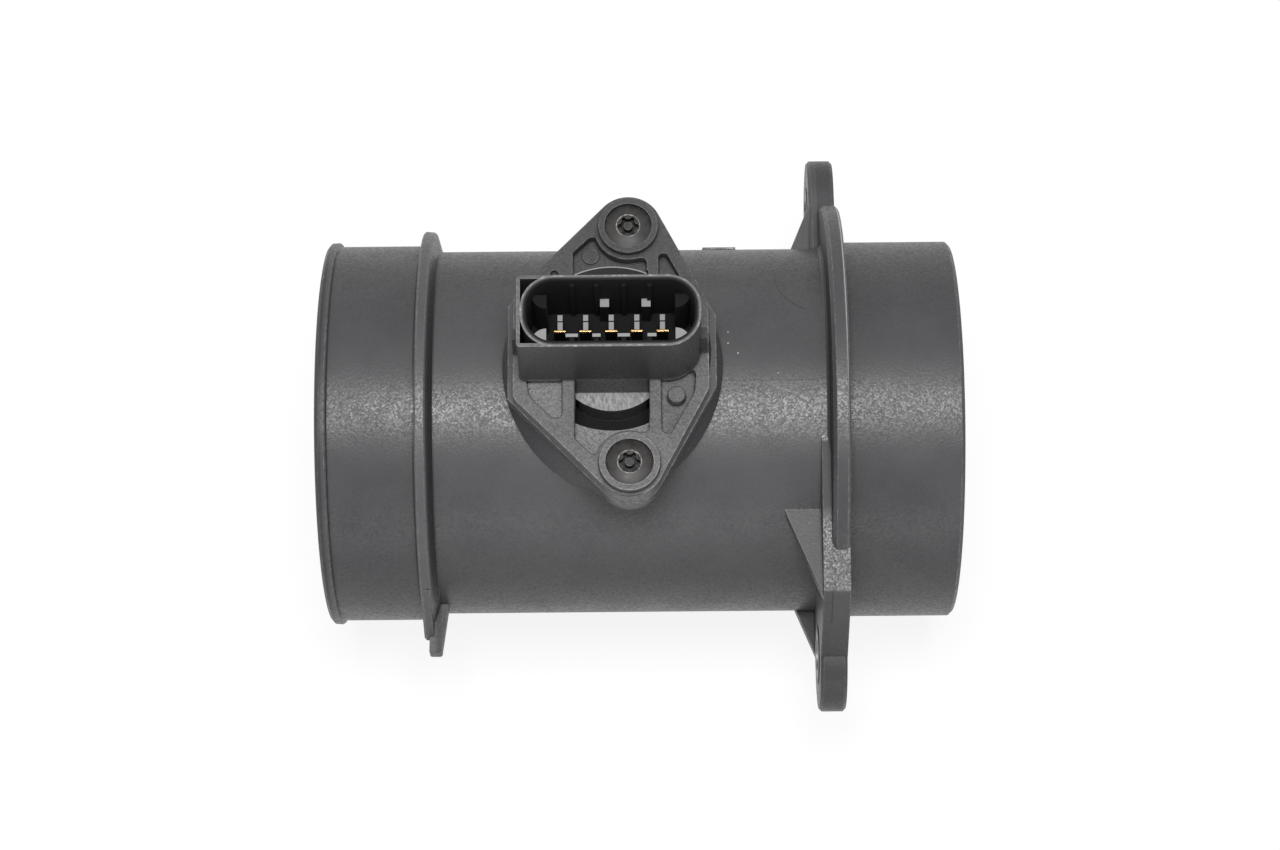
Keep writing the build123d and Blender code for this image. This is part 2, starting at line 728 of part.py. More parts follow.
def lid_outline(grow):
    """The bypass lid's outline, in (x, z)."""
    x = SENSOR_X
    z0 = channel_top(True)[0]
    z3 = channel_top(False)[1]
    return rounded(
        [
            (x + CHANNEL_REAR - grow, z0 - grow, 2.4),
            (x + ARM_HALF_LENGTH - ARM_NOSE_R - 1 + grow, z0 - grow, 0.6),
            (x + ARM_HALF_LENGTH - ARM_NOSE_R - 1 + grow, z3 + grow, 0.6),
            (x + CHANNEL_REAR - grow, z3 + grow, 2.4),
        ]
    )


def holder_shape():
    """The tongue, from the chamber through the wall into the upper leg of the channel."""
    x = SENSOR_X + HOLDER_CENTRE
    low = channel_top(False)[0] - 0.6
    front = CHAMBER_FLOOR - CARRIER_THICKNESS
    return block(
        x - HOLDER_WIDTH / 2,
        x + HOLDER_WIDTH / 2,
        front - BOARD_THICKNESS,
        front,
        low,
        BOARD_BOTTOM - 0.3,
    )


def thermistor_leads():
    """Two prongs out of the arm's side and the straight leads between them and the bead."""
    x = SENSOR_X + 1.0
    inner, outer = ARM_HALF_WIDTH - 1.5, ARM_HALF_WIDTH + THERMISTOR_STANDOFF
    middle = 19.0
    leads = []
    for side in (-1, 1):
        z = middle + side * THERMISTOR_SPAN / 2
        prong = Pos(x, (inner + outer) / 2, z) * Rot(90, 0, 0)
        leads.append(prong * Cylinder(LEAD_R, outer - inner))
        low, high = sorted((z, middle))
        leads.append(rod_z(LEAD_R, low, high, x, outer))
        leads.append(Pos(x, outer, z) * Sphere(LEAD_R))
    return leads, Pos(x, outer, middle) * Sphere(BEAD_R)


def terminal(index):
    """One stamped blade: wide in the plug's socket, narrow and closer-set in the chamber."""
    order = index - (PIN_COUNT - 1) / 2
    x, leg = SENSOR_X + order * PITCH, SENSOR_X + order * LEG_PITCH
    left, right = sorted((x - BLADE_WIDTH / 2, x + BLADE_WIDTH / 2))
    blade = block(left, right, 0, BLADE_THICKNESS, BEND_Z, BLADE_TOP)
    tip = blade.edges().filter_by(Axis.X).group_by(Axis.Z)[-1]
    blade = chamfer(tip, BLADE_THICKNESS * 0.3)
    low, high = min(left, leg - LEG_WIDTH / 2), max(right, leg + LEG_WIDTH / 2)
    bend = block(low, high, 0, BLADE_THICKNESS, BEND_Z - LEG_WIDTH, BEND_Z)
    foot = block(
        leg - LEG_WIDTH / 2,
        leg + LEG_WIDTH / 2,
        0,
        BLADE_THICKNESS,
        LEG_FOOT,
        BEND_Z - LEG_WIDTH,
    )
    return Pos(0, BLADE_FACE - BLADE_THICKNESS, 0) * (blade + bend + foot)


def sensor_housing():
    body = sensor_flange() + connector_shroud() + arm()
    for piece in (*keying_ribs(), *latch_lugs()):
        body += piece
    body -= chamber_cut()
    body -= channel_cut()
    body -= holder_shape()
    leads, _ = thermistor_leads()
    for lead in leads:
        body -= lead
    for i in range(PIN_COUNT):
        body -= terminal(i)
    return body


# ---------------------------------------------------------------- small pieces


def star(reach, lobe_r, count=6):
    """The recess of a star drive, from its centre to the tips of its lobes."""
    face = Circle(reach - lobe_r)
    for i in range(count):
        angle = 2 * pi * i / count
        face += Pos((reach - lobe_r) * cos(angle), (reach - lobe_r) * sin(angle)) * Circle(lobe_r)
    return face


def security_screw():
    """A thread-forming screw with a domed head and a pin in its star recess; its shank is plain."""
    dome = ThreePointArc((HEAD_R, HEAD_EDGE), (HEAD_R * 0.6, HEAD_HEIGHT * 0.95), (0, HEAD_HEIGHT))
    outline = Polyline((0, HEAD_HEIGHT), (0, 0), (HEAD_R, 0), (HEAD_R, HEAD_EDGE))
    profile = make_face(Wire([*outline.edges(), dome]))
    screw = revolve(Plane.XZ * profile, Axis.Z)
    screw -= Pos(0, 0, HEAD_HEIGHT - SOCKET_DEPTH) * extrude(star(SOCKET_R, 0.5), 3.0)
    rim = Cone(SOCKET_R - 0.1, SOCKET_R + SOCKET_RIM, SOCKET_RIM + 0.1)
    screw -= Pos(0, 0, HEAD_HEIGHT - (SOCKET_RIM + 0.1) / 2) * rim
    screw += rod_z(0.87, 0.2, HEAD_HEIGHT - 0.4)
    shank = rod_z(SCREW_R, 1.0 - SCREW_LENGTH, 0)
    point = Pos(0, 0, 0.5 - SCREW_LENGTH) * Cone(SCREW_R - 0.6, SCREW_R, 1.0)
    return screw + shank + point


def carrier_plate():
    half = CHAMBER_HALF_LENGTH - LID_LEDGE - SLIDE
    back = CHAMBER_FLOOR - CARRIER_THICKNESS
    plate = block(
        SENSOR_X - half,
        SENSOR_X + half,
        back,
        CHAMBER_FLOOR,
        CHAMBER_BOTTOM + SLIDE,
        CARRIER_TOP,
    )
    edges = plate.edges().filter_by(Axis.Y)
    return fillet(edges, 0.8)


def circuit_board():
    half = CHAMBER_HALF_LENGTH - LID_LEDGE - 0.5
    front = CHAMBER_FLOOR - CARRIER_THICKNESS
    return block(
        SENSOR_X - half,
        SENSOR_X + half,
        front - BOARD_THICKNESS,
        front,
        BOARD_BOTTOM,
        BOARD_TOP,
    )


def board_face():
    return CHAMBER_FLOOR - CARRIER_THICKNESS - BOARD_THICKNESS


def on_board(x, z, length, height, thickness):
    """A chip component that sits on the board."""
    face = board_face()
    chip = block(
        SENSOR_X + x - length / 2,
        SENSOR_X + x + length / 2,
        face - thickness,
        face,
        z - height / 2,
        z + height / 2,
    )
    return chamfer(chip.edges().group_by(Axis.Y)[0], 0.12)


def bond_ribbon(index):
    """A ribbon from a terminal's foot down to the board."""
    leg = SENSOR_X + (index - (PIN_COUNT - 1) / 2) * LEG_PITCH
    top, low = BLADE_FACE - BLADE_THICKNESS, board_face()
    t = RIBBON_THICKNESS
    outline = Polyline(
        (top, LEG_FOOT + 1.2),
        (top - t, LEG_FOOT + 1.2),
        (top - t, LEG_FOOT - 0.3),
        (low - t, BOARD_TOP - 0.6),
        (low - t, BOARD_TOP - 1.6),
        (low, BOARD_TOP - 1.6),
        (low, BOARD_TOP - 0.5),
        (top, LEG_FOOT - 0.2),
        close=True,
    )
    return along_x(make_face(outline), leg - RIBBON_WIDTH / 2, leg + RIBBON_WIDTH / 2)


def electronics_cover():
    half = CHAMBER_HALF_LENGTH - SLIDE
    low, high = CHAMBER_BOTTOM - LID_LEDGE + SLIDE, CHAMBER_TOP + LID_LEDGE - SLIDE
    back = -ARM_HALF_WIDTH
    lid = block(SENSOR_X - half, SENSOR_X + half, back, back + LID_THICKNESS, low, high)
    lid = fillet(lid.edges().filter_by(Axis.Y), 0.6)
    dish = block(
        SENSOR_X - half + 2.5,
        SENSOR_X + half - 2.5,
        back - 1,
        back + 0.4,
        low + 2.5,
        high - 2.5,
    )
    return lid - dish


def bypass_cover():
    back = -ARM_HALF_WIDTH
    return along_y(lid_outline(LID_LEDGE - SLIDE), back, back + LID_THICKNESS)


def element_holder():
    tongue = holder_shape()
    return tongue - element_shape()


def element_shape():
    """The silicon chip, let into the tongue and flush with it."""
    x = SENSOR_X + HOLDER_CENTRE
    low, high = channel_top(False)
    front = board_face()
    return block(x - 1.6, x + 1.6, front, front + ELEMENT_THICKNESS, low + 0.8, high - 0.6)


def air_thermistor():
    leads, bead = thermistor_leads()
    whole = bead
    for lead in leads:
        whole += lead
    return whole


def hexagons(pitch, wall, limit):
    """Cells of a honeycomb whose centres lie inside the limit."""
    cells = []
    across = (pitch - wall) / 2
    rows = int(limit / (pitch * sqrt(3) / 2)) + 1
    for row in range(-rows, rows + 1):
        z = row * pitch * sqrt(3) / 2
        shift = pitch / 2 if row % 2 else 0.0
        for column in range(-rows - 1, rows + 2):
            y = column * pitch + shift
            if hypot(y, z) < limit:
                cells.append(Pos(y, z) * RegularPolygon(across, 6, major_radius=False, rotation=30))
    return cells


def flow_straightener():
    start = SHOULDER_X + SCREEN_THICKNESS
    outer = FITTING_R - SLIDE
    inner = outer - RIM_WIDTH
    opening = Circle(inner)
    cells = [cell & opening for cell in hexagons(CELL_PITCH, CELL_WALL, inner - CELL_PITCH * 0.28)]
    face = Circle(outer) - cells
    return along_x(face, start, start + HONEYCOMB_DEPTH)


def wire_screen():
    """A screen of crossed wires in a rim, simplified to a coarser pitch."""
    outer = FITTING_R - SLIDE
    inner = outer - RIM_WIDTH
    count = int(inner / SCREEN_PITCH)
    bars = []
    for i in range(-count, count + 1):
        reach = sqrt(inner**2 - (i * SCREEN_PITCH) ** 2) + 0.5
        bars.append(Pos(0, i * SCREEN_PITCH) * Rectangle(2 * reach, SCREEN_WIRE))
        bars.append(Pos(i * SCREEN_PITCH, 0) * Rectangle(SCREEN_WIRE, 2 * reach))
    face = Circle(outer) - Circle(inner) + bars
    return along_x(face, SHOULDER_X, SHOULDER_X + SCREEN_THICKNESS)


def retaining_ring():
    start = SHOULDER_X + SCREEN_THICKNESS + HONEYCOMB_DEPTH
    face = Circle(FITTING_R + RETAINER_GROOVE) - Circle(RETAINER_INNER_R)
    face -= Pos(0, -FITTING_R) * Rectangle(9.0, 8.0)
    return along_x(face, start, start + RETAINER_THICKNESS)


def bolt_sleeve(side):
    outer = rod_x(SLEEVE_R, -EAR_THICKNESS - EAR_BOSS_HEIGHT, 0, side * BOLT_Y)
    return outer - rod_x(SLEEVE_BORE_R, -EAR_THICKNESS - 3, 3, side * BOLT_Y)


def o_ring():
    middle = GROOVE_BOTTOM + GROOVE_WIDTH / 2
    return Pos(SENSOR_X, 0, middle) * Torus(GROOVE_R + O_RING_SECTION_R, O_RING_SECTION_R)


save(duct_housing(), "duct_housing")
save(sensor_housing(), "sensor_housing")
for i in range(PIN_COUNT):
    save(terminal(i), f"terminal_{i + 1}")
    save(bond_ribbon(i), f"bond_ribbon_{i + 1}")
for i, side in enumerate((1, -1)):
    save(Pos(SCREW_X, side * SCREW_Y, RECESS_FLOOR) * security_screw(), f"screw_{i + 1}")
    save(bolt_sleeve(side), f"sleeve_{i + 1}")
save(o_ring(), "o_ring")
save(carrier_plate(), "carrier_plate")
save(circuit_board(), "circuit_board")
save(on_board(0.0, 20.5, CHIP_SIDE, CHIP_SIDE, CHIP_THICKNESS), "evaluation_chip")
for i, (x, z) in enumerate(((-5.6, 22.6), (-5.6, 18.4), (5.6, 20.5))):
    save(on_board(x, z, 2.0, 1.3, 1.0), f"capacitor_{i + 1}")
save(element_holder(), "element_holder")
save(element_shape(), "sensor_element")
save(electronics_cover(), "electronics_cover")
save(bypass_cover(), "bypass_cover")
save(air_thermistor(), "air_thermistor")
save(flow_straightener(), "flow_straightener")
save(wire_screen(), "wire_screen")
save(retaining_ring(), "retaining_ring")
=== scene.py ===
import json
from math import cos, radians, sin

import bpy
from mathutils import Matrix, Vector


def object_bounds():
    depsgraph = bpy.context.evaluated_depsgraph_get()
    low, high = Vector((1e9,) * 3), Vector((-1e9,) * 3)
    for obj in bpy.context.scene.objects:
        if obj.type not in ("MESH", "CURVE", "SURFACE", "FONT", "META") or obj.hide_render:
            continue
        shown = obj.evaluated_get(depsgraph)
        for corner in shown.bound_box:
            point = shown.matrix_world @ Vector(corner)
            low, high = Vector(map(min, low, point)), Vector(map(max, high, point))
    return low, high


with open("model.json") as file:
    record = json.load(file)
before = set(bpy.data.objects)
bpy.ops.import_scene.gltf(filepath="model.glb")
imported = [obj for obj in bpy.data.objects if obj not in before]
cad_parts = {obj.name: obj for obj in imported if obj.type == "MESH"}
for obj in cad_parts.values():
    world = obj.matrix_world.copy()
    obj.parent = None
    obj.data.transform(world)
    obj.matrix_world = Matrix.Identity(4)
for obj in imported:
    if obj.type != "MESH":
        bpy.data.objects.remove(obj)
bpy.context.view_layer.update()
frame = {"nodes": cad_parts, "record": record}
scene = bpy.context.scene


# ---------------------------------------------------------------- places on the part, in metres

# Each pair is a mask's low and high limit. RADII are distances from an axis and LEVELS lie
# along Z. The others lie along X, unless they say otherwise.

# Duct
UPPER_SIDE = (0.02, 0.021)  # in Z
TUBE_ENDS = (-0.0838, -0.0038)  # the stretch between the collar and the flange's disc
TUBE_FRONT = (-0.037, -0.031)  # its side towards the camera, darkened as painted shade, in Y
TUBE_SHADE = (0.022, 0.027)  # a strip of painted shade along its rear, in Y
TUBE_REAR = (0.033, 0.036)  # its far side, paled as a painted reflection of the white studio, in Y
OUTLET_BEAD = (-0.1085, -0.1067)  # the outer half of the bead at the outlet's end, darkened as painted shade
COLLAR_FOOT = (-0.08814, -0.08785)  # a thin line of painted shade on the spigot, beside the collar
COLLAR_FOOT_RADII = (0.0404, 0.0406)
# the collar's band, paled as a painted highlight
COLLAR_BODY = (-0.0899, -0.085)
COLLAR_BODY_RADII = (0.0412, 0.0416)
# the collar's sloped side, darkened as painted shade
COLLAR_SLOPE = (-0.0853, -0.0841)
COLLAR_SLOPE_RADII = (0.0388, 0.039)
DISC_BACK = (-0.00375, -0.00356)  # the face of the flange's disc towards the tube, darkened as painted shade
DISC_RIM = (-0.0005, 0.0001)
DISC_RIM_RADII = (0.0476, 0.048)
CREST = (-0.0056, -0.0036)  # the narrow step beside the disc, darkened as painted shade
CREST_RADII = (0.03865, 0.0388)  # just outside the tube's own radius
SHOULDER = (-0.034, -0.033)  # where the wide shoulder beside the front ear begins, in Y
# the shoulder's dark line: painted shade in the groove beside the disc
SHOULDER_LINE = (-0.0034, -0.0031)
SEAM = (-0.0033, -0.0031)  # painted shade on the parting line's dark side, in Y
SEAM_EDGE = (-0.0038, -0.0036)  # a painted highlight on its pale side, in Y
# the gusset's top, paled as a painted highlight
GUSSET_TOP = (0.0272, 0.0276)  # in Z
GUSSET_ROOT = (-0.0057, -0.0055)  # where it leaves the ear
BOLT_EARS = (0.048, 0.052)  # in Y, to either side; the bolt ears are darkened as painted shade
MARK_CENTRE = (-0.0035, 0.0216, 0.0320)  # of a faint moulded ring beside the flange
MARK_R = 0.0106
MARK_HALF_WIDTH = 0.00007
MARK_END = (-0.0085, -0.0075)  # the ring shows only on the tube's side of this
DUST = (
    (-0.02407, 0.00754, 0.03786),
    (-0.02412, 0.00496, 0.03828),
    (-0.02214, 0.00267, 0.03851),
)

# Sensor
SENSOR_X = -0.0476
SCREW_X = SENSOR_X + 0.0034
SCREW_Y = 0.0252
PLATE_TOP = 0.0507
POCKET_FLOOR = 0.0485
FRONT_EDGES = (  # the flange's two front edges: a line's normal and its offset
    (0.7687, 0.6397, -0.05779),
    (-0.871, 0.4913, 0.01989),
)
EDGE_MARGIN = (0.0009, 0.0011)  # how far inside those edges the pockets' outlines lie
WELL_RADII = (0.0114, 0.01762)
WELL_LEVELS = (0.0355, 0.0482)
WELL_RIM_RADII = (0.01755, 0.01765)
WELL_RIM_LEVELS = (0.0483, 0.04856)
CORE = (0.0114, 0.0114, 0.0003)  # half sizes of a box round the disc in the well
CORE_TOP = 0.043
SHROUD = (0.0198, 0.0076, 0.0087)  # half sizes of a box round the connector's shroud
SHROUD_MIDDLE = 0.0597
OVAL_LENGTH = 0.011  # half the flat box that the shroud's rounded outline runs round
OVAL_WIDTH = 0.00085
SOCKET_TOPS = (0.0664, 0.059, 0.058, 0.0574)  # levels of the ribs' tops in the plug's socket
FAN_LEVELS = (0.06464, 0.06476)  # of the tops of the fans at the socket's ends
BLADE_TIP = (0.05915, 0.0593)  # where a contact's gilt tip starts, in Z
LIP_LEVELS = (0.0684, 0.0685)
SOCKET_LEVELS = (0.0508, 0.051)
LIP_OUTSIDE = (0.0066, 0.0067)  # these four are distances from the shroud's flat middle box
LIP_BURRS = (0.0062, 0.0064)
LIP_INSIDE = (0.0060, 0.00615)
SOCKET_WALL = (0.0058, 0.00595)
SCREW_RECESS = ((-0.001, 0.0021), (0.0499, 0.0516))  # radii, then levels
SCREW_RIM = ((0.00225, 0.0024), (0.0515, 0.0523))

# Colours that the marks share
DEEP = (0.008, 0.008, 0.009)  # what a mark darkens towards
MIST = (0.22, 0.22, 0.225)  # what a mark pales towards
SCRATCH = (0.55, 0.55, 0.55)  # bare glass fibre on a rubbed edge; on sharp edges also a painted highlight

# Rays per shading point
BEVEL_RAYS = 6
CREVICE_RAYS = 8


# ---------------------------------------------------------------- camera and stage

ELEVATION = radians(70)
ROLL = radians(0.5)
TARGET = Vector((-0.0405, 0, 0))
DISTANCE = 0.688
FOCAL_PIXELS = 3216
PICTURE_WIDTH = 1280
CENTRE = Vector((-8.2, 6.05)) / FOCAL_PIXELS  # the picture's centre, seen from the target
SENSOR_WIDTH = 36  # of the camera, in mm
LAMP_AIM = Vector((-0.04, 0, 0))
FLOOR_GAP = 0.0002  # below the part
FLOOR_HALF_SIDE = 6.0
FLOOR_GLOW = 0.85  # how much of its own white the floor shows


def add_camera():
    """The photograph's view: steep, from the front, and rolled a little."""
    toward = Vector((0, -cos(ELEVATION), sin(ELEVATION)))
    level = Vector((1, 0, 0))
    upright = Vector((0, sin(ELEVATION), cos(ELEVATION)))
    right = level * cos(ROLL) - upright * sin(ROLL)
    up = level * sin(ROLL) + upright * cos(ROLL)
    back = (toward - CENTRE.x * right - CENTRE.y * up).normalized()
    right = (right - right.dot(back) * back).normalized()
    up = back.cross(right)
    data = bpy.data.cameras.new("camera")
    data.sensor_width = SENSOR_WIDTH
    data.lens = SENSOR_WIDTH * FOCAL_PIXELS / PICTURE_WIDTH
    data.clip_start = 0.05
    data.clip_end = 50
    camera = bpy.data.objects.new("camera", data)
    scene.collection.objects.link(camera)
    turn = Matrix((right, up, back)).transposed()
    camera.matrix_world = Matrix.Translation(TARGET + DISTANCE * toward) @ turn.to_4x4()
    scene.camera = camera


def add_area(name, place, size, power, size_y=None):
    """An area lamp aimed at the part: a square, or size by size_y."""
    data = bpy.data.lights.new(name, "AREA")
    data.energy = power
    data.size = size
    if size_y:
        data.shape = "RECTANGLE"
        data.size_y = size_y
    lamp = bpy.data.objects.new(name, data)
    scene.collection.objects.link(lamp)
    lamp.location = place
    lamp.rotation_euler = (LAMP_AIM - Vector(place)).to_track_quat("-Z", "Y").to_euler()


def new_node(tree, kind, **inputs):
    """A node with the named inputs set."""
    node = tree.nodes.new(kind)
    for name, value in inputs.items():
        node.inputs[name].default_value = value
    return node


def seen_by(tree, *rays):
    """1 for the kinds of ray that are named, 0 for the others."""
    path = tree.nodes.new("ShaderNodeLightPath")
    mask = path.outputs[rays[0]]
    for ray in rays[1:]:
        either = tree.nodes.new("ShaderNodeMath")
        either.operation = "MAXIMUM"
        tree.links.new(mask, either.inputs[0])
        tree.links.new(path.outputs[ray], either.inputs[1])
        mask = either.outputs[0]
    return mask


def mix_shaders(tree, share, first, second, out):
    """Sends the first shader, and by the share the second, to a new output node."""
    mix = tree.nodes.new("ShaderNodeMixShader")
    for socket, source in zip(mix.inputs, (share, first.outputs[0], second.outputs[0])):
        tree.links.new(source, socket)
    tree.links.new(mix.outputs[0], tree.nodes.new(out).inputs["Surface"])


def add_world():
    """A white studio: white where it is seen or mirrored, softer as light."""
    world = bpy.data.worlds.new("studio")
    scene.world = world
    world.use_nodes = True
    tree = world.node_tree
    tree.nodes.clear()
    seen = new_node(tree, "ShaderNodeBackground", Strength=1.0, Color=(1, 1, 1, 1))
    light = new_node(tree, "ShaderNodeBackground", Strength=0.4, Color=(0.98, 0.97, 1, 1))
    direct = seen_by(tree, "Is Camera Ray", "Is Transmission Ray", "Is Glossy Ray")
    mix_shaders(tree, direct, light, seen, "ShaderNodeOutputWorld")


def add_floor():
    """A white table that keeps a faint shadow of the object."""
    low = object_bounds()[0][2] - FLOOR_GAP
    side = FLOOR_HALF_SIDE
    mesh = bpy.data.meshes.new("floor")
    corners = [(-side, -side, low), (side, -side, low), (side, side, low), (-side, side, low)]
    mesh.from_pydata(corners, [], [(0, 1, 2, 3)])
    floor = bpy.data.objects.new("floor", mesh)
    scene.collection.objects.link(floor)
    mat = bpy.data.materials.new("white_table")
    mat.use_nodes = True
    tree = mat.node_tree
    tree.nodes.clear()
    paint = new_node(tree, "ShaderNodeBsdfDiffuse", Color=(0.94, 0.94, 0.94, 1))
    glow = new_node(tree, "ShaderNodeEmission", Strength=1.02)
    share = tree.nodes.new("ShaderNodeMath")
    share.operation = "MULTIPLY"
    share.inputs[1].default_value = FLOOR_GLOW
    tree.links.new(seen_by(tree, "Is Camera Ray", "Is Glossy Ray"), share.inputs[0])
    mix_shaders(tree, share.outputs[0], paint, glow, "ShaderNodeOutputMaterial")
    mesh.materials.append(mat)


# ---------------------------------------------------------------- materials


class Finish:
    """A node material, built up step by step round one Principled shader."""

    def __init__(self, name, metallic=0.0):
        self.mat = bpy.data.materials.new(name)
        self.mat.use_nodes = True
        self.tree = self.mat.node_tree
        self.tree.nodes.clear()
        out = self.add("ShaderNodeOutputMaterial")
        self.shader = self.add("ShaderNodeBsdfPrincipled")
        self.shader.inputs["Metallic"].default_value = metallic
        self.shader.inputs["IOR"].default_value = 1.5
        self.link(self.shader.outputs[0], out.inputs["Surface"])
        self.place = self.add("ShaderNodeTexCoord").outputs["Object"]

    def add(self, kind, **settings):
        node = self.tree.nodes.new(kind)
        for key, value in settings.items():
            setattr(node, key, value)
        return node

    def link(self, a, b):
        self.tree.links.new(a, b)

    def set(self, socket, value):
        """Gives a socket a number, a colour of three numbers, or another node's output."""
        if isinstance(value, (int, float)):
            socket.default_value = value
        elif isinstance(value, tuple):
            socket.default_value = (*value, 1.0)
        else:
            self.link(value, socket)

    def noise(self, size, detail=2.0, rough=0.5, stretch=None):
        """Noise whose cells are about size metres; stretch scales its axes."""
        node = self.add("ShaderNodeTexNoise")
        node.inputs["Scale"].default_value = 1.0 / size
        node.inputs["Detail"].default_value = detail
        node.inputs["Roughness"].default_value = rough
        place = self.place
        if stretch:
            mapping = self.add("ShaderNodeMapping")
            mapping.inputs["Scale"].default_value = stretch
            self.link(place, mapping.inputs["Vector"])
            place = mapping.outputs[0]
        self.link(place, node.inputs["Vector"])
        return node.outputs["Fac"]

    def cells(self, size):
        """Voronoi cells of about size metres."""
        node = self.add("ShaderNodeTexVoronoi", feature="F1")
        node.inputs["Scale"].default_value = 1.0 / size
        self.link(self.place, node.inputs["Vector"])
        return node

    def salt(self, size):
        """A random number from 0 to 1 for each tiny patch of about size metres."""
        parts = self.add("ShaderNodeSeparateColor")
        self.link(self.cells(size).outputs["Color"], parts.inputs[0])
        return parts.outputs[0]

    def span(self, value, low, high, to_low, to_high, smooth=False):
        """Maps low..high to to_low..to_high and holds the ends."""
        node = self.add("ShaderNodeMapRange")
        node.clamp = True
        if smooth:
            node.interpolation_type = "SMOOTHSTEP"
        for socket, number in zip(node.inputs[1:5], (low, high, to_low, to_high)):
            socket.default_value = number
        self.link(value, node.inputs[0])
        return node.outputs[0]

    def over(self, value, low, high):
        """0 below low, 1 above high."""
        return self.span(value, low, high, 0.0, 1.0)

    def under(self, value, low, high):
        """1 below low, 0 above high."""
        return self.span(value, low, high, 1.0, 0.0)

    def math(self, operation, a, b=0.0):
        node = self.add("ShaderNodeMath", operation=operation)
        self.set(node.inputs[0], a)
        self.set(node.inputs[1], b)
        return node.outputs[0]

    def both(self, *masks):
        """1 where all the masks are set: their product."""
        product = masks[0]
        for mask in masks[1:]:
            product = self.math("MULTIPLY", product, mask)
        return product

    def either(self, *masks):
        """The largest of the masks."""
        largest = masks[0]
        for mask in masks[1:]:
            largest = self.math("MAXIMUM", largest, mask)
        return largest

    def length(self, a, b):
        """The length of a line whose two parts are a and b."""
        return self.math("SQRT", self.math("ADD", self.both(a, a), self.both(b, b)))

    def blend(self, amount, a, b):
        node = self.add("ShaderNodeMix", data_type="RGBA")
        self.set(node.inputs["Factor"], amount)
        self.set([s for s in node.inputs if s.name == "A" and s.type == "RGBA"][0], a)
        self.set([s for s in node.inputs if s.name == "B" and s.type == "RGBA"][0], b)
        return [s for s in node.outputs if s.type == "RGBA"][0]

    def mark(self, tone, mask, amount, colour):
        """Lays a colour over the tone where the mask is set."""
        return self.blend(self.both(mask, amount), tone, colour)

    def axes(self):
        """The place on the part, in metres."""
        node = self.add("ShaderNodeSeparateXYZ")
        self.link(self.place, node.inputs[0])
        return node.outputs[0], node.outputs[1], node.outputs[2]

    def distance(self, point):
        node = self.add("ShaderNodeVectorMath", operation="DISTANCE")
        self.link(self.place, node.inputs[0])
        node.inputs[1].default_value = point
        return node.outputs["Value"]

    def band(self, value, low, high, soft=0.0001):
        """1 where a length lies between low and high, 0 outside."""
        return self.both(self.over(value, low - soft, low), self.under(value, high, high + soft))

    def inside(self, centre, half, soft=0.0002):
        """1 inside a box given by its centre and half sizes, 0 outside."""
        masks = []
        for axis, middle, reach in zip(self.axes(), centre, half):
            away = self.math("ABSOLUTE", self.math("SUBTRACT", axis, middle))
            masks.append(self.under(away, reach, reach + soft))
        return self.both(*masks)

    def ring(self, centre, radii, levels):
        """1 in a ring round an upright axis, between two levels."""
        x, y, z = self.axes()
        x = self.math("SUBTRACT", x, centre[0])
        y = self.math("SUBTRACT", y, centre[1])
        return self.both(self.band(self.length(x, y), *radii), self.band(z, *levels))

    def worn(self, radius, low, high):
        """How strongly a point lies on a sharp edge, from 0 to 1."""
        bevel = self.add("ShaderNodeBevel", samples=BEVEL_RAYS)
        bevel.inputs["Radius"].default_value = radius
        flat = self.add("ShaderNodeNewGeometry").outputs["Normal"]
        turn = self.add("ShaderNodeVectorMath", operation="DOT_PRODUCT")
        self.link(bevel.outputs[0], turn.inputs[0])
        self.link(flat, turn.inputs[1])
        bent = self.math("SUBTRACT", 1.0, turn.outputs["Value"])
        return self.over(bent, low, high)

    def upright(self):
        """1 where the surface faces up, along the part's Z."""
        axes = self.add("ShaderNodeSeparateXYZ")
        self.link(self.add("ShaderNodeNewGeometry").outputs["Normal"], axes.inputs[0])
        return self.over(axes.outputs[2], 0.9, 0.95)

    def crevice(self, reach):
        """How open a point is: 1 on a flat or an edge, about 0.5 in a corner."""
        node = self.add("ShaderNodeAmbientOcclusion", samples=CREVICE_RAYS, only_local=True)
        node.inputs["Distance"].default_value = reach
        return node.outputs["AO"]

    def bump(self, height, distance, strength=1.0, edge=0.0):
        """Adds relief; edge softens sharp corners by that radius."""
        node = self.add("ShaderNodeBump")
        node.inputs["Distance"].default_value = distance
        node.inputs["Strength"].default_value = strength
        self.link(height, node.inputs["Height"])
        if edge:
            bevel = self.add("ShaderNodeBevel", samples=BEVEL_RAYS)
            bevel.inputs["Radius"].default_value = edge
            self.link(bevel.outputs[0], node.inputs["Normal"])
        self.link(node.outputs[0], self.shader.inputs["Normal"])

    def colour(self, value):
        self.set(self.shader.inputs["Base Color"], value)

    def rough(self, value):
        self.set(self.shader.inputs["Roughness"], value)

    def dull(self, roughness):
        """Raises the roughness to at least what is given."""
        skin = self.shader.inputs["Roughness"].links[0].from_socket
        self.rough(self.math("MAXIMUM", skin, roughness))


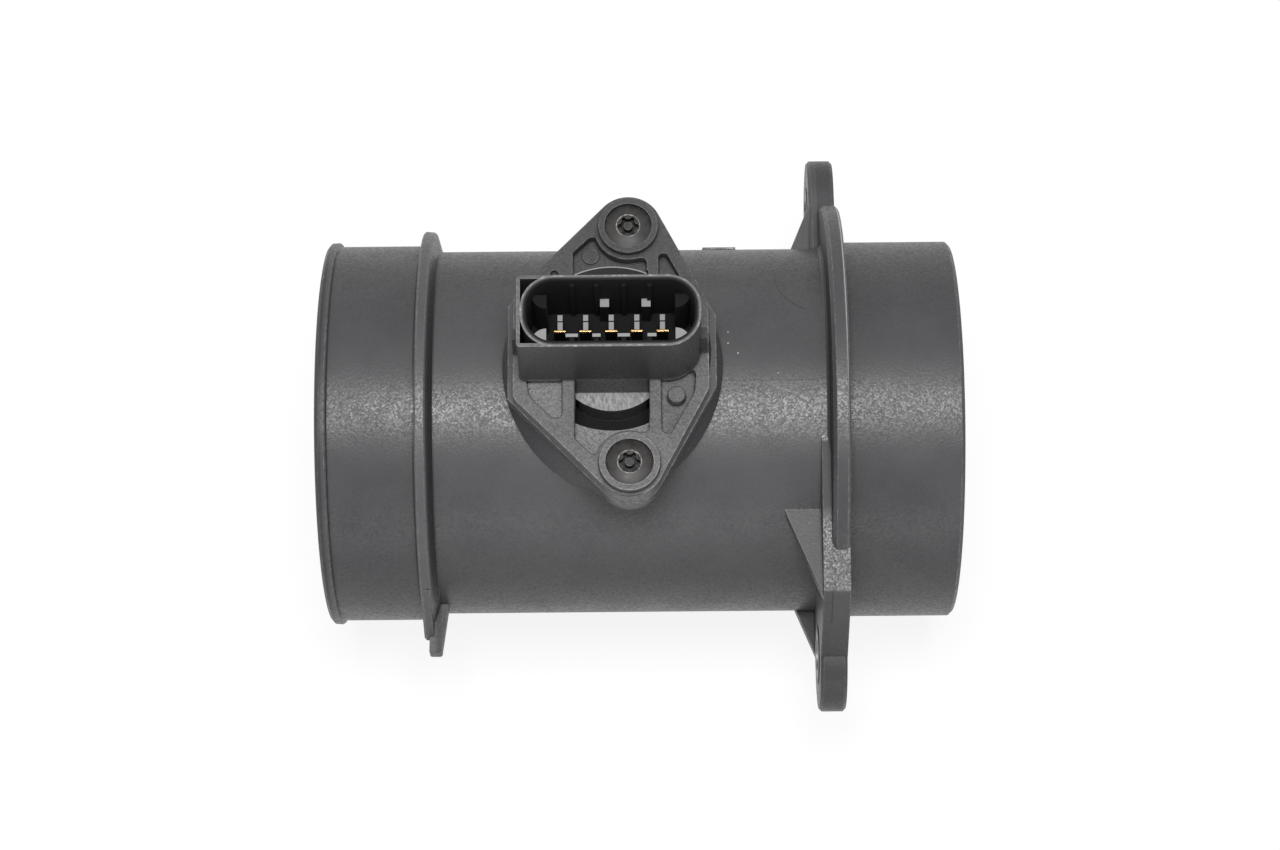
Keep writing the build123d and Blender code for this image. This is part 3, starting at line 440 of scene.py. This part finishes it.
def moulded_plastic(
    name,
    dark,
    pale,
    roughness,
    grain,
    depth,
    specks=0.0,
    edge=0.00025,
    chips=0.45,
    mottling=0.4,
    glitter=0.1,
):
    """Glass-filled plastic off a spark-eroded mould: cloudy tone, fine grain, painted shade in
    corners, pale worn edges with a painted highlight.

    grain is the size of the grain and depth its height, in metres; edge is the radius that
    softens sharp corners. specks, chips, mottling and glitter say how much dust, edge wear
    with its painted highlight, uneven tone and sparkle there is.
    """
    f = Finish(name)
    clouds = f.noise(0.014, 4.0, 0.6)
    tone = f.blend(f.span(clouds, 0.35, 0.65, 0.0, 1.0, smooth=True), dark, pale)
    salt = f.salt(grain)
    mottle = f.blend(salt, tuple(c * 0.7 for c in dark), tuple(c * 1.25 for c in pale))
    tone = f.blend(mottling, tone, mottle)
    open_air = f.crevice(0.0007)
    # painted shade: the tone darkens towards near black in corners and creases
    tone = f.blend(f.under(open_air, 0.52, 0.93), tone, tuple(c * 0.12 for c in dark))
    patchy = f.span(f.noise(0.0011, 3.0), 0.45, 0.68, 0.22, 1.0)
    # pale edges: partly real wear, partly a painted highlight along sharp edges
    worn = f.both(f.worn(0.00045, 0.005, 0.1), f.over(open_air, 0.86, 0.95), patchy)
    tone = f.mark(tone, worn, chips, SCRATCH)
    if specks:
        dust = f.under(f.cells(0.0042).outputs["Distance"], 0.022, 0.028)
        chosen = f.span(f.noise(0.009, 1.0), 0.55, 0.6, 0.0, specks)
        tone = f.mark(tone, dust, chosen, (0.62, 0.62, 0.6))
    satin = f.span(f.noise(0.012, 4.0, 0.6), 0.3, 0.7, *roughness)
    f.rough(f.math("ADD", satin, f.span(salt, 0.0, 1.0, glitter, -glitter)))
    f.bump(f.noise(grain * 1.5, 1.0), depth, 1.0, edge)
    return f, tone


def duct_plastic():
    """The duct's skin, with its moulded lines, dust, painted shade on its sides and a painted
    highlight on its rim.
    """
    f, tone = moulded_plastic(
        "duct_plastic",
        (0.046, 0.045, 0.048),
        (0.062, 0.061, 0.064),
        roughness=(0.4, 0.46),
        grain=0.00034,
        depth=0.00003,
        specks=0.8,
        mottling=0.26,
        glitter=0.125,
    )
    f.shader.inputs["Specular IOR Level"].default_value = 0.42
    x, y, z = f.axes()
    radius = f.length(y, z)
    tube = f.band(x, *TUBE_ENDS)
    on_top = f.over(z, *UPPER_SIDE)
    tube_top = f.both(on_top, tube)
    flat = f.both(on_top, f.upright())
    shoulder = f.both(f.under(y, *SHOULDER), flat)
    raised = f.both(f.over(radius, *CREST_RADII), on_top)
    crest = f.both(f.band(x, *CREST), raised)
    disc_back = f.both(f.band(x, *DISC_BACK, soft=0.00004), raised)
    foot = f.both(f.band(x, *COLLAR_FOOT), f.under(radius, *COLLAR_FOOT_RADII))
    slope = f.both(f.band(x, *COLLAR_SLOPE), f.over(radius, *COLLAR_SLOPE_RADII))
    collar = f.both(f.band(x, *COLLAR_BODY), f.over(radius, *COLLAR_BODY_RADII))
    gusset = f.both(f.band(z, *GUSSET_TOP), flat, f.under(x, *GUSSET_ROOT))
    mark_band = f.band(f.distance(MARK_CENTRE), MARK_R - MARK_HALF_WIDTH, MARK_R + MARK_HALF_WIDTH)
    ring_line = f.both(mark_band, on_top, f.under(x, *MARK_END))
    rim = f.both(f.band(radius, *DISC_RIM_RADII), f.band(x, *DISC_RIM), on_top)

    # painted shade: the spigots are darkened more than the tube
    tone = f.blend(f.span(tube, 0.0, 1.0, 0.16, 0.112), tone, DEEP)
    for mask, amount, colour in (
        # painted highlight: the tube between collar and disc paled a little
        (tube, 0.049, MIST),
        (f.both(f.band(y, *SEAM), tube_top), 0.3, DEEP),
        (f.both(f.band(y, *SEAM_EDGE), tube_top), 0.1, MIST),
        # painted shade in the groove on the shoulder
        (f.both(f.band(x, *SHOULDER_LINE), shoulder), 0.9, DEEP),
        (disc_back, 0.85, DEEP),
        (f.both(crest, f.over(y, -0.036, -0.03)), 0.4, DEEP),
        (f.both(tube, f.under(y, *TUBE_FRONT)), 0.3, DEEP),
        (f.both(tube, f.band(y, *TUBE_SHADE, soft=0.005)), 0.22, DEEP),
        (f.both(tube, f.over(y, *TUBE_REAR)), 0.08, MIST),
        (f.band(x, *OUTLET_BEAD, soft=0.0002), 0.6, DEEP),
        (foot, 0.8, DEEP),
        (slope, 0.6, DEEP),
        (collar, 0.13, MIST),
        (gusset, 0.14, MIST),
        (f.over(f.math("ABSOLUTE", y), *BOLT_EARS), 0.3, DEEP),
        (ring_line, 0.6, DEEP),
    ):
        tone = f.mark(tone, mask, amount, colour)
    for speck in DUST:
        tone = f.mark(tone, f.under(f.distance(speck), 0.0001, 0.00018), 0.9, (0.6, 0.6, 0.58))
    # painted highlight along the disc's rim, stronger towards the rear
    tone = f.mark(tone, rim, f.span(y, -0.02, 0.012, 0.1, 0.8), (0.5, 0.5, 0.5))
    f.colour(tone)
    f.dull(f.both(crest, f.over(y, -0.036, -0.028), 0.6))
    return f.mat


def sensor_plastic():
    """The sensor's skin: pocketed flange, sunk well, glossy shroud and dark socket, with painted
    shade and highlights.
    """
    f, tone = moulded_plastic(
        "sensor_plastic",
        (0.09, 0.087, 0.088),
        (0.135, 0.131, 0.132),
        roughness=(0.4, 0.48),
        grain=0.00034,
        depth=0.00004,
        specks=0.5,
        edge=0.00018,
        chips=0.6,
        mottling=0.6,
    )
    f.shader.inputs["Specular IOR Level"].default_value = 0.28
    x, y, z = f.axes()
    tone = f.mark(tone, f.over(y, 0.002, 0.012), 0.55, DEEP)  # the rear lies in shade

    floors = f.both(
        f.band(z, POCKET_FLOOR - 0.00005, POCKET_FLOOR + 0.00005),
        f.upright(),
        f.under(x, SENSOR_X + 0.009, SENSOR_X + 0.011),
        f.under(y, 0.0, 0.002),
    )
    # painted glints: pale specks on the front pocket floors
    tone = f.mark(tone, floors, f.salt(0.0003), MIST)
    outline = f.both(
        f.band(z, PLATE_TOP - 0.0004, PLATE_TOP + 0.00005),
        f.under(y, -0.001, 0.0),
        f.worn(0.0004, 0.004, 0.03),
    )
    for across, along, offset in FRONT_EDGES:
        depth = f.math("ADD", f.both(x, across), f.both(y, along))
        outline = f.both(outline, f.over(depth, *(offset + margin for margin in EDGE_MARGIN)))
    # painted shade: a dark line along the front pockets' edges
    tone = f.mark(tone, outline, 0.95, DEEP)

    shroud = f.inside((SENSOR_X, 0, SHROUD_MIDDLE), SHROUD)
    # darker low on the shroud, paler towards its top
    shroud_tone = f.blend(f.over(z, 0.051, 0.068), (0.03, 0.029, 0.03), (0.05, 0.05, 0.051))
    tone = f.mark(tone, shroud, 0.9, shroud_tone)

    well = f.ring((SENSOR_X, 0), WELL_RADII, WELL_LEVELS)
    # painted shade: the well near black at the front, dark grey at the rear
    well_shade = f.blend(f.over(y, -0.002, 0.002), (0.008, 0.008, 0.009), (0.075, 0.075, 0.076))
    tone = f.mark(tone, well, 1.0, well_shade)
    well_rim = f.ring((SENSOR_X, 0), WELL_RIM_RADII, WELL_RIM_LEVELS)
    # painted highlight on the rear of the well's rim
    tone = f.mark(tone, f.both(well_rim, f.over(y, 0.008, 0.012)), 0.8, (0.4, 0.4, 0.4))

    from_middle = f.math("ABSOLUTE", f.math("SUBTRACT", x, SENSOR_X))
    past_end = f.either(f.math("SUBTRACT", from_middle, OVAL_LENGTH), 0.0)
    past_side = f.either(f.math("SUBTRACT", f.math("ABSOLUTE", y), OVAL_WIDTH), 0.0)
    oval = f.length(past_end, past_side)  # the distance from the shroud's flat middle box
    lip = f.both(f.under(oval, *LIP_OUTSIDE), f.over(z, *LIP_LEVELS))
    tone = f.mark(tone, lip, 1.0, (0.1, 0.1, 0.1))
    burr = f.span(f.noise(0.0013, 4.0, 0.7), 0.5, 0.7, 0.15, 1.0)
    tone = f.mark(tone, f.both(lip, f.over(oval, *LIP_BURRS), burr), 0.7, SCRATCH)
    # painted shade: the lip's inner edge darkened towards near black
    tone = f.mark(tone, f.both(lip, f.under(oval, *LIP_INSIDE)), 1.0, DEEP)

    # painted shade: the socket's inside near black
    socket = f.both(f.under(oval, *SOCKET_WALL), f.over(z, *SOCKET_LEVELS))
    tone = f.mark(tone, socket, 1.0, (0.006, 0.006, 0.0065))
    tops = [f.band(z, top - 0.00006, top + 0.00006, soft=0.00002) for top in SOCKET_TOPS]
    fans = f.both(f.band(z, *FAN_LEVELS, soft=0.00002), f.under(y, -0.0021, -0.002))
    lit = f.both(socket, f.either(*tops, fans), f.upright())
    # painted highlight on the upward tops of the socket's ribs and fans
    tone = f.mark(tone, lit, 1.0, (0.3, 0.3, 0.3))

    core = f.inside((SENSOR_X, 0, CORE_TOP), CORE)
    weave = f.noise(0.0004, 2.0, 0.6, (1, 0.35, 1))
    cut = f.blend(f.over(weave, 0.35, 0.65), (0.17, 0.17, 0.17), (0.35, 0.35, 0.345))
    f.colour(f.mark(tone, core, 1.0, cut))
    f.dull(f.span(f.either(socket, well), 0.0, 1.0, 0.0, 0.9))
    return f.mat


def small_plastic(name, dark):
    """The skin of the lids and the honeycomb."""
    pale = tuple(c * 1.35 for c in dark)
    f, tone = moulded_plastic(
        name, dark, pale, roughness=(0.42, 0.52), grain=0.0005, depth=0.00003, edge=0.0001
    )
    f.colour(tone)
    return f.mat


def seal_rubber():
    """Black rubber, slightly uneven."""
    f = Finish("seal_rubber")
    tone = f.noise(0.0012, 3.0)
    f.colour(f.blend(tone, (0.012, 0.012, 0.013), (0.024, 0.023, 0.023)))
    f.rough(f.span(f.noise(0.002, 2.0), 0.3, 0.7, 0.5, 0.68))
    f.bump(f.noise(0.0003, 2.0), 0.000008, 0.8)
    return f.mat


def plated_metal(name, dark, pale, roughness, tarnish=None):
    """Metal with fine drawn or rolled lines, and a film that dulls it in patches."""
    f = Finish(name, metallic=1.0)
    lines = f.noise(0.0004, 3.0, 0.6, (1, 1, 12))
    patches = f.noise(0.004, 3.0, 0.6)
    tone = f.blend(f.over(lines, 0.3, 0.7), dark, pale)
    if tarnish:
        tone = f.blend(f.span(patches, 0.5, 0.72, 0.0, 0.6), tone, tarnish)
    f.colour(tone)
    f.rough(f.span(patches, 0.3, 0.7, *roughness))
    f.bump(lines, 0.000006, 0.6, 0.00006)
    return f.mat


def contact_blades():
    """Gilt tips on blades whose flanks are painted dark, as a painted reflection of dark
    surroundings.
    """
    f = Finish("contact_metal", metallic=1.0)
    lines = f.noise(0.0003, 3.0, 0.6, (12, 12, 1))
    gilt = f.blend(f.over(lines, 0.3, 0.7), (0.7, 0.4, 0.17), (0.95, 0.62, 0.3))
    # painted reflection: the flanks darkened to show the dark surroundings they mirror
    dull = f.blend(f.over(lines, 0.3, 0.7), (0.03, 0.026, 0.022), (0.07, 0.058, 0.045))
    f.colour(f.blend(f.over(f.axes()[2], *BLADE_TIP), dull, gilt))
    f.rough(f.span(f.noise(0.0012, 2.0), 0.3, 0.7, 0.2, 0.34))
    f.bump(lines, 0.000004, 0.5, 0.00005)
    return f.mat


def black_screw():
    """Black-phosphated steel, rubbed bright where the driver touched it, with painted shade in its
    recess.
    """
    f = Finish("screw_steel", metallic=0.15)
    f.shader.inputs["Specular IOR Level"].default_value = 0.3
    clouds = f.noise(0.0016, 3.0)
    tone = f.blend(f.over(clouds, 0.3, 0.7), (0.024, 0.023, 0.023), (0.044, 0.042, 0.04))
    rubbed = f.span(f.noise(0.0007), 0.4, 0.62, 0.2, 1.0)
    tone = f.mark(tone, f.both(f.worn(0.00016, 0.02, 0.2), rubbed), 0.8, (0.6, 0.58, 0.55))
    for y in (-SCREW_Y, SCREW_Y):
        recess = f.ring((SCREW_X, y), *SCREW_RECESS)
        # painted shade: the driver recess near black
        tone = f.blend(recess, tone, (0.006, 0.006, 0.006))
        rim = f.ring((SCREW_X, y), *SCREW_RIM)
        tone = f.mark(tone, f.both(rim, rubbed), 0.6, (0.45, 0.44, 0.42))
    f.colour(tone)
    f.rough(f.span(clouds, 0.3, 0.7, 0.4, 0.52))
    f.bump(f.noise(0.0002, 2.0), 0.000006, 0.8, 0.00012)
    return f.mat


def alumina():
    """The white ceramic of the board."""
    f = Finish("board_ceramic")
    tone = f.noise(0.0006, 4.0)
    f.colour(f.blend(tone, (0.72, 0.71, 0.66), (0.84, 0.83, 0.79)))
    f.rough(f.span(f.noise(0.002), 0.3, 0.7, 0.35, 0.55))
    f.bump(tone, 0.000004, 0.8, 0.0001)
    return f.mat


def chip_body(name, dark, pale):
    """Small fine-grained parts on the board."""
    f = Finish(name)
    tone = f.noise(0.0002, 3.0)
    f.colour(f.blend(tone, dark, pale))
    f.rough(f.span(f.noise(0.0009), 0.3, 0.7, 0.42, 0.6))
    f.bump(tone, 0.000005, 0.8, 0.00008)
    return f.mat


def dress(finishes):
    """Gives every node the finish of its material slot."""
    for sub in frame["record"]["subparts"]:
        mesh = frame["nodes"][sub["node"]].data
        mesh.materials.clear()
        mesh.materials.append(finishes[sub["material_slot"]])


PLATINGS = {  # dark tone, pale tone, roughness, and a tarnish where there is one
    "sleeve_steel": ((0.2, 0.2, 0.19), (0.34, 0.33, 0.31), (0.4, 0.55), (0.14, 0.13, 0.11)),
    "spring_steel": ((0.38, 0.38, 0.39), (0.56, 0.56, 0.56), (0.25, 0.4)),
    "plate_aluminium": ((0.62, 0.62, 0.63), (0.78, 0.78, 0.78), (0.3, 0.45)),
}
CHIPS = {  # dark tone and pale tone
    "chip_black": ((0.012, 0.012, 0.012), (0.03, 0.03, 0.031)),
    "chip_ceramic": ((0.32, 0.22, 0.13), (0.46, 0.34, 0.22)),
    "silicon": ((0.09, 0.1, 0.14), (0.16, 0.17, 0.22)),
    "bead_glass": ((0.05, 0.06, 0.05), (0.12, 0.13, 0.11)),
}

finishes = {
    "duct_plastic": duct_plastic(),
    "sensor_plastic": sensor_plastic(),
    "lid_plastic": small_plastic("lid_plastic", (0.03, 0.03, 0.031)),
    "grid_plastic": small_plastic("grid_plastic", (0.034, 0.033, 0.034)),
    "seal_rubber": seal_rubber(),
    "contact_metal": contact_blades(),
    "screw_steel": black_screw(),
    "board_ceramic": alumina(),
}
for slot, look in PLATINGS.items():
    finishes[slot] = plated_metal(slot, *look)
for slot, tones in CHIPS.items():
    finishes[slot] = chip_body(slot, *tones)

add_camera()
add_world()
add_floor()
add_area("key", (-0.04, -0.11, 0.95), size=0.3, power=7.8)
add_area("front", (-0.04, -1.2, 0.22), size=1.1, power=1.6, size_y=0.4)
dress(finishes)

scene.view_settings.view_transform = "Standard"
